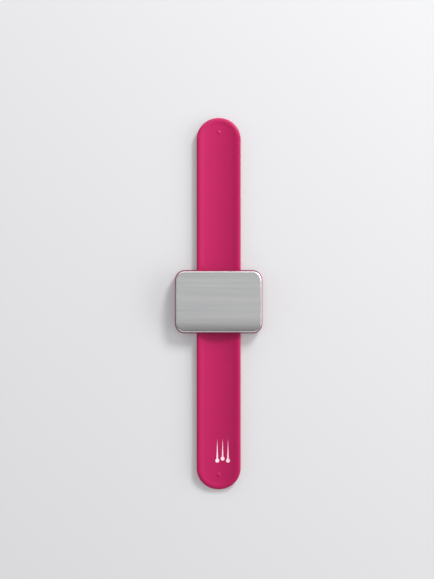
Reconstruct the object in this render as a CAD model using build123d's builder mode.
"""Wrist pin cushion: an arched steel plate over magnets, in a moulded tray, on a silicone slap band.

The band lies straight along Y with its hollow side up.  Its steel spring strip lets each half, or
wing, snap shut round a wrist below it.  A wing is cut into short sections, each with its own length
of strip, that turn about lines along X at the lowest line of the band.  All lengths are millimetres.
"""
from build123d import *
from math import asin, cos, degrees, radians, sin, sqrt
import os

os.makedirs("parts", exist_ok=True)

# Band: a moulded silicone sleeve, bent across its width like a gutter
band_length = 236.0
band_width = 28.0
band_thickness = 2.3
trough_radius = 44.0  # of the underside, across the band
nub_diameter = 2.0  # moulded pip near each tip
nub_height = 0.6
nub_inset = 9.3  # from the tip to the pip's centre
nub_round = 0.4
nub_root = 0.3  # how deep the pip starts inside the sleeve

# Spring strip in the sleeve's slot
strip_width = 22.0
strip_thickness = 0.2
strip_corner = 8.0
strip_tip_inset = 6.0  # from the sleeve's tip to the strip's end
slot_gap = 0.15  # above and below the strip
slot_side_gap = 0.3  # beside the strip and past its ends

# Sections that a wing bends at
sections_per_wing = 10
section_gap = 0.05
shoulder = 3.0  # straight band left clear beyond the tray

# Steel pin plate, arched along the band to follow the wrist
plate_width = 54.0  # across the band
plate_length = 38.6  # along the band
plate_thickness = 0.8
plate_corner = 5.5
plate_edge_round = 0.4
arch_radius = 62.0  # of the plate's top face
plate_shift = 1.2  # how far the plate and tray sit from the middle of the band

# Adhesive tape under the plate
tape_thickness = 0.15
tape_margin = 1.0
bond_gap = 0.03

# Block magnets, in rows across the band and two columns
magnet_rows = 3
magnet_thickness = 1.5
magnet_row_gap = 2.0
magnet_column_gap = 5.0
magnet_side_wall = 4.5  # from the plate's side to the nearest magnet
magnet_end_wall = 2.4  # from the plate's end to the nearest magnet
magnet_gap = 0.05

# Tray: a dish under the plate and a foot whose lips hook round the band's raised edges
tray_margin = 0.4  # how far the tray shows round the plate
tray_draft = 0.5  # how much wider its wall is at the bottom
tray_roof = 0.8  # least wall between the band and a magnet pocket
tray_side_height = 2.8  # of the dish's underside at its outer wall
tray_side_chamfer = 1.0
foot_wall = 3.5  # beside the band
foot_flare = 5.0  # width of the slope from foot to dish
lip_reach = 4.5  # how far a lip reaches in under the band's edge
channel_gap = 0.1  # between tray and band

# Worked out
wall_radius = trough_radius - band_thickness / 2  # of the middle of the band's wall
tray_width = plate_width + 2 * tray_margin
tray_length = plate_length + 2 * tray_margin
centre_length = tray_length + 2 * (tray_draft + abs(plate_shift) + shoulder)
tip_length = band_width / 2
wing_length = (band_length - centre_length) / 2
section_length = (wing_length - tip_length) / (sections_per_wing - 1)
clear_of_all = band_length  # longer than anything that it cuts
outline_ease = 0.02  # keeps an outline's straight sides just off the round edges that it trims

magnet_length = (plate_width - 2 * magnet_side_wall - magnet_column_gap) / 2
magnet_width = (
    plate_length - 2 * magnet_end_wall - (magnet_rows - 1) * magnet_row_gap
) / magnet_rows
tape_top_radius = arch_radius - plate_thickness - bond_gap
tray_top_radius = tape_top_radius - tape_thickness - bond_gap
magnet_top_radius = sqrt((tray_top_radius - magnet_gap) ** 2 - (magnet_width / 2) ** 2)
pocket_floor_radius = magnet_top_radius - magnet_thickness - magnet_gap
pocket_width = magnet_width + 2 * magnet_gap
pocket_length = magnet_length + 2 * magnet_gap
row_tilt = degrees((magnet_width + magnet_row_gap) / magnet_top_radius)
end_row_tilt = radians(row_tilt * (magnet_rows - 1) / 2)


def bend_half_angle(width, thickness):
    """Half the angle that a strip of this width spans along the band's curved wall."""
    return degrees(asin((width - thickness) / 2 / wall_radius))


rim_rise = wall_radius * (1 - cos(radians(bend_half_angle(band_width, band_thickness))))
channel_top = band_thickness + rim_rise + channel_gap
pocket_drop = pocket_floor_radius * cos(end_row_tilt) - pocket_width / 2 * sin(end_row_tilt)
arch_centre = channel_top + tray_roof - pocket_drop  # height of the arch's axis
plate_top = arch_centre + arch_radius


def curved_slab(width, thickness, low, high, mode=Mode.ADD):
    """A round-edged slab in the band's curved wall, between two distances along the band."""
    half_angle = bend_half_angle(width, thickness)
    bend = CenterArc((0, trough_radius), wall_radius, 270 - half_angle, 2 * half_angle)
    with BuildSketch(Plane.XZ.offset(-high)) as profile:
        SlotArc(bend, thickness)
    extrude(profile.sketch, amount=high - low, mode=mode)


def keep_inside(outline):
    """Cuts the part down to what stands over an outline."""
    extrude(outline, amount=clear_of_all, both=True, mode=Mode.INTERSECT)


def arched_sheet(outer_radius, thickness):
    """A sheet that follows the plate's arch, wider and longer than the plate."""
    with BuildSketch(Plane.YZ.offset(-tray_width)) as ring:
        with Locations((plate_shift, arch_centre)):
            Circle(outer_radius)
            Circle(outer_radius - thickness, mode=Mode.SUBTRACT)
    extrude(ring.sketch, amount=2 * tray_width)
    split(bisect_by=Plane.XY, keep=Keep.TOP)


with BuildSketch() as band_outline:
    SlotOverall(band_length, band_width + 2 * outline_ease, rotation=90)

with BuildSketch() as strip_outline:
    RectangleRounded(
        strip_width + 2 * outline_ease, band_length - 2 * strip_tip_inset, strip_corner
    )

with BuildSketch() as slot_outline:
    offset(strip_outline.sketch, amount=slot_side_gap)

with BuildSketch() as plate_outline:
    with Locations((0, plate_shift)):
        RectangleRounded(plate_width, plate_length, plate_corner)


def sleeve_section(name, low, high):
    """One length of the silicone sleeve, with the strip's slot through it."""
    at_tip = max(-low, high) > band_length / 2 - tip_length
    with BuildPart() as slot:
        curved_slab(strip_width + 2 * slot_side_gap, strip_thickness + 2 * slot_gap, low, high)
        if at_tip:
            keep_inside(slot_outline.sketch)
    with BuildPart() as sleeve:
        curved_slab(band_width, band_thickness, low, high)
        if at_tip:
            keep_inside(band_outline.sketch)
        add(slot.part, mode=Mode.SUBTRACT)
        for nub_place in (nub_inset - band_length / 2, band_length / 2 - nub_inset):
            if low < nub_place < high:
                with BuildSketch(Plane.XY.offset(band_thickness - nub_root)) as nub:
                    with Locations((0, nub_place)):
                        Circle(nub_diameter / 2)
                extrude(nub.sketch, amount=nub_root + nub_height)
                nub_rim = sleeve.edges().filter_by(GeomType.CIRCLE).filter_by(
                    lambda edge: edge.radius == nub_diameter / 2
                )
                fillet(nub_rim.sort_by(Axis.Z)[-1], nub_round)
    sleeve.part.label = name
    export_step(sleeve.part, f"parts/{name}.step")


def strip_section(name, low, high):
    """One length of the spring strip."""
    at_tip = max(-low, high) > band_length / 2 - tip_length
    with BuildPart() as strip:
        curved_slab(strip_width, strip_thickness, low, high)
        if at_tip:
            keep_inside(strip_outline.sketch)
    strip.part.label = name
    export_step(strip.part, f"parts/{name}.step")


# Centre of the band, under the tray
half_centre = (centre_length - section_gap) / 2
sleeve_section("band_centre", -half_centre, half_centre)
strip_section("strip_centre", -half_centre, half_centre)

# Wings: section 1 is beside the centre and the last one is the rounded tip
for wing, side in (("upper", 1), ("lower", -1)):
    for number in range(1, sections_per_wing + 1):
        near = centre_length / 2 + (number - 1) * section_length
        far = band_length / 2 if number == sections_per_wing else near + section_length
        near += section_gap / 2
        far -= section_gap / 2 if number < sections_per_wing else 0
        low, high = sorted((side * near, side * far))
        sleeve_section(f"band_{wing}_{number}", low, high)
        strip_section(f"strip_{wing}_{number}", low, high)


# Steel pin plate
with BuildPart() as steel_plate:
    arched_sheet(arch_radius, plate_thickness)
    keep_inside(plate_outline.sketch)
    fillet(steel_plate.faces().sort_by(Axis.Z)[-1].edges(), plate_edge_round)
steel_plate.part.label = "steel_plate"
export_step(steel_plate.part, "parts/steel_plate.step")


# Double-sided tape between the tray and the plate
with BuildPart() as plate_tape:
    arched_sheet(tape_top_radius, tape_thickness)
    with BuildSketch() as tape_outline:
        offset(plate_outline.sketch, amount=-tape_margin)
    keep_inside(tape_outline.sketch)
plate_tape.part.label = "plate_tape"
export_step(plate_tape.part, "parts/plate_tape.step")


def magnet_seat(row, column, radius):
    """Plane square to the arch, at the middle of a magnet's place, at a distance from the arch's axis."""
    tilt = radians(row_tilt * row)
    return Plane(
        origin=(
            column * (magnet_length + magnet_column_gap) / 2,
            plate_shift + radius * sin(tilt),
            arch_centre + radius * cos(tilt),
        ),
        x_dir=(1, 0, 0),
        z_dir=(0, sin(tilt), cos(tilt)),
    )


magnet_places = [
    (row - (magnet_rows - 1) / 2, column) for row in range(magnet_rows) for column in (-1, 1)
]

# Tray that holds the magnets and hooks round the band
foot_half = band_width / 2 + foot_wall
lip_edge = band_width / 2 - lip_reach
tray_half = tray_width / 2
with BuildPart() as tapered_block:
    with BuildSketch(Plane.XY.offset(plate_top)):
        with Locations((0, plate_shift)):
            RectangleRounded(tray_width, tray_length, plate_corner + tray_margin)
    with BuildSketch():
        with Locations((0, plate_shift)):
            RectangleRounded(
                tray_width + 2 * tray_draft,
                tray_length + 2 * tray_draft,
                plate_corner + tray_margin + tray_draft,
            )
    loft()

with BuildPart() as arch_block:
    with BuildSketch(Plane.YZ.offset(-tray_width)):
        with Locations((plate_shift, arch_centre)):
            Circle(tray_top_radius)
    extrude(amount=2 * tray_width)

with BuildPart() as plate_tray:
    with BuildSketch(Plane.XZ.offset(-plate_shift - tray_length / 2 - tray_draft)) as tray_profile:
        with BuildLine():
            half = Polyline(
                (0, 0),
                (foot_half, 0),
                (foot_half + foot_flare, tray_side_height - tray_side_chamfer),
                (tray_half + tray_draft - tray_side_chamfer, tray_side_height - tray_side_chamfer),
                (tray_half + tray_draft, tray_side_height),
                (tray_half, plate_top),
                (0, plate_top),
            )
            mirror(half, about=Plane.YZ)
        make_face()
    extrude(amount=tray_length + 2 * tray_draft)
    add(tapered_block.part, mode=Mode.INTERSECT)
    add(arch_block.part, mode=Mode.INTERSECT)
    curved_slab(
        band_width + 2 * channel_gap,
        band_thickness + 2 * channel_gap,
        -clear_of_all,
        clear_of_all,
        mode=Mode.SUBTRACT,
    )
    with BuildSketch() as lip_opening:
        Rectangle(2 * lip_edge, clear_of_all)
    extrude(lip_opening.sketch, amount=band_thickness, mode=Mode.SUBTRACT)
    for row, column in magnet_places:
        with BuildSketch(magnet_seat(row, column, pocket_floor_radius)) as pocket:
            Rectangle(pocket_length, pocket_width)
        extrude(pocket.sketch, amount=plate_top, mode=Mode.SUBTRACT)
plate_tray.part.label = "plate_tray"
export_step(plate_tray.part, "parts/plate_tray.step")


# Block magnets
for number, (row, column) in enumerate(magnet_places, start=1):
    with BuildPart() as magnet:
        with BuildSketch(magnet_seat(row, column, magnet_top_radius)):
            Rectangle(magnet_length, magnet_width)
        extrude(amount=-magnet_thickness)
    magnet.part.label = f"magnet_{number}"
    export_step(magnet.part, f"parts/magnet_{number}.step")

print(f"plate top {plate_top:.2f}, section {section_length:.3f}, centre {centre_length:.2f}")
print(f"magnet {magnet_length:.1f} x {magnet_width:.2f} x {magnet_thickness}")
print(f"band rim {rim_rise + band_thickness:.2f}")
